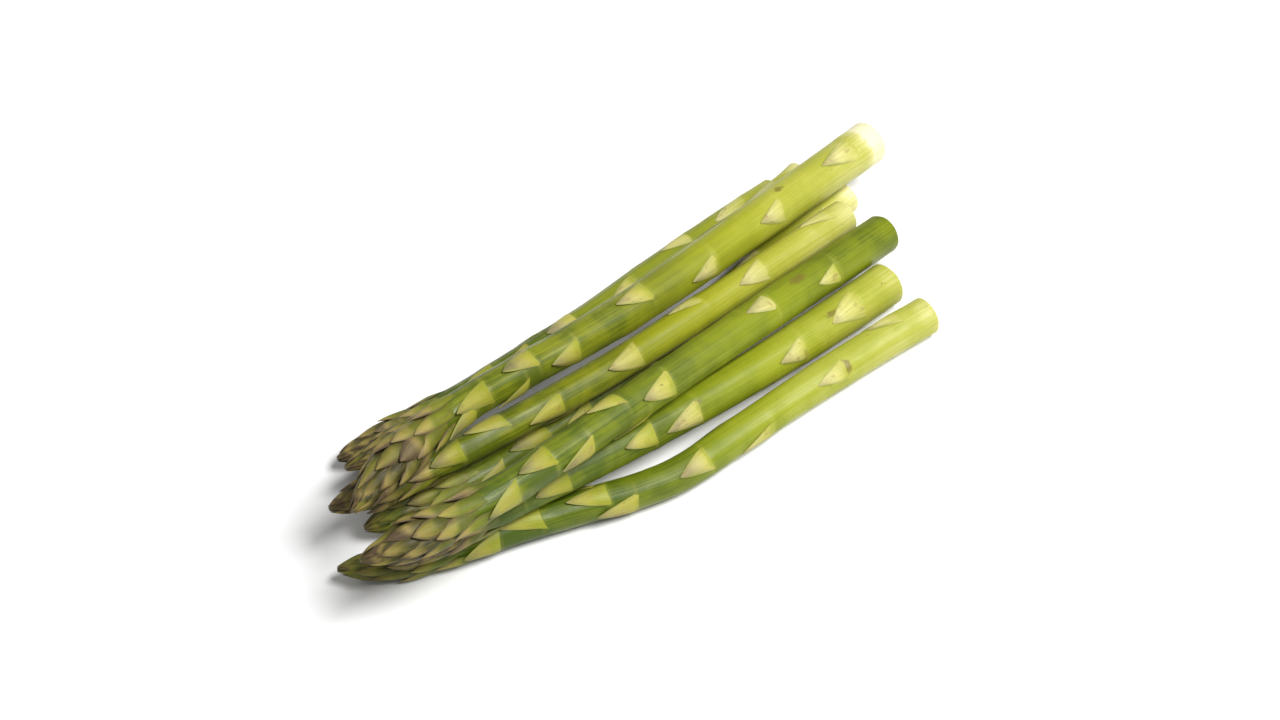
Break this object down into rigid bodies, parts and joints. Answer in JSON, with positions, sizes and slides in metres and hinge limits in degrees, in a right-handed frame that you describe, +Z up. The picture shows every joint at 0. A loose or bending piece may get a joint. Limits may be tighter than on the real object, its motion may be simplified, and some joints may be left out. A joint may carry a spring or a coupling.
{
  "type": "bundle of asparagus",
  "caption": "Loose bundle of green asparagus spears lying on a surface, tips together at one end, each a tapered round stem with scale leaves and a pointed scaly head.",
  "frame": {"origin": "centre of the bundle's bounding box in X and Y, on the surface that the bundle lies on", "axes": "+X along the spears from the cut ends towards the tips, +Z up from the surface, +Y across the bundle towards the bent spear"},
  "size_m": [0.2176, 0.0764, 0.0369],
  "materials": {
    "stem": "satin, waxy",
    "head": "satin",
    "scale_leaf": "matt, papery towards the point"
  },
  "bodies": {
    "root": {"spear_1_stem": "stem", "spear_1_head": "head", "spear_1_leaf_1": "scale_leaf", "spear_1_leaf_2": "scale_leaf", "spear_1_leaf_3": "scale_leaf", "spear_1_leaf_4": "scale_leaf", "spear_1_leaf_5": "scale_leaf", "spear_2_stem": "stem", "spear_2_head": "head", "spear_2_leaf_1": "scale_leaf", "spear_2_leaf_2": "scale_leaf", "spear_2_leaf_3": "scale_leaf", "spear_2_leaf_4": "scale_leaf", "spear_2_leaf_5": "scale_leaf", "spear_3_stem": "stem", "spear_3_head": "head", "spear_3_leaf_1": "scale_leaf", "spear_3_leaf_2": "scale_leaf", "spear_3_leaf_3": "scale_leaf", "spear_3_leaf_4": "scale_leaf", "spear_3_leaf_5": "scale_leaf", "spear_4_stem": "stem", "spear_4_head": "head", "spear_4_leaf_1": "scale_leaf", "spear_4_leaf_2": "scale_leaf", "spear_4_leaf_3": "scale_leaf", "spear_4_leaf_4": "scale_leaf", "spear_4_leaf_5": "scale_leaf", "spear_5_stem": "stem", "spear_5_head": "head", "spear_5_leaf_1": "scale_leaf", "spear_5_leaf_2": "scale_leaf", "spear_5_leaf_3": "scale_leaf", "spear_5_leaf_4": "scale_leaf", "spear_5_leaf_5": "scale_leaf", "spear_6_stem": "stem", "spear_6_head": "head", "spear_6_leaf_1": "scale_leaf", "spear_6_leaf_2": "scale_leaf", "spear_6_leaf_3": "scale_leaf", "spear_6_leaf_4": "scale_leaf", "spear_6_leaf_5": "scale_leaf", "spear_7_stem": "stem", "spear_7_head": "head", "spear_7_leaf_1": "scale_leaf", "spear_7_leaf_2": "scale_leaf", "spear_7_leaf_3": "scale_leaf", "spear_7_leaf_4": "scale_leaf", "spear_7_leaf_5": "scale_leaf", "spear_8_stem": "stem", "spear_8_head": "head", "spear_8_leaf_1": "scale_leaf", "spear_8_leaf_2": "scale_leaf", "spear_8_leaf_3": "scale_leaf", "spear_8_leaf_4": "scale_leaf", "spear_8_leaf_5": "scale_leaf"}
  },
  "joints": []
}
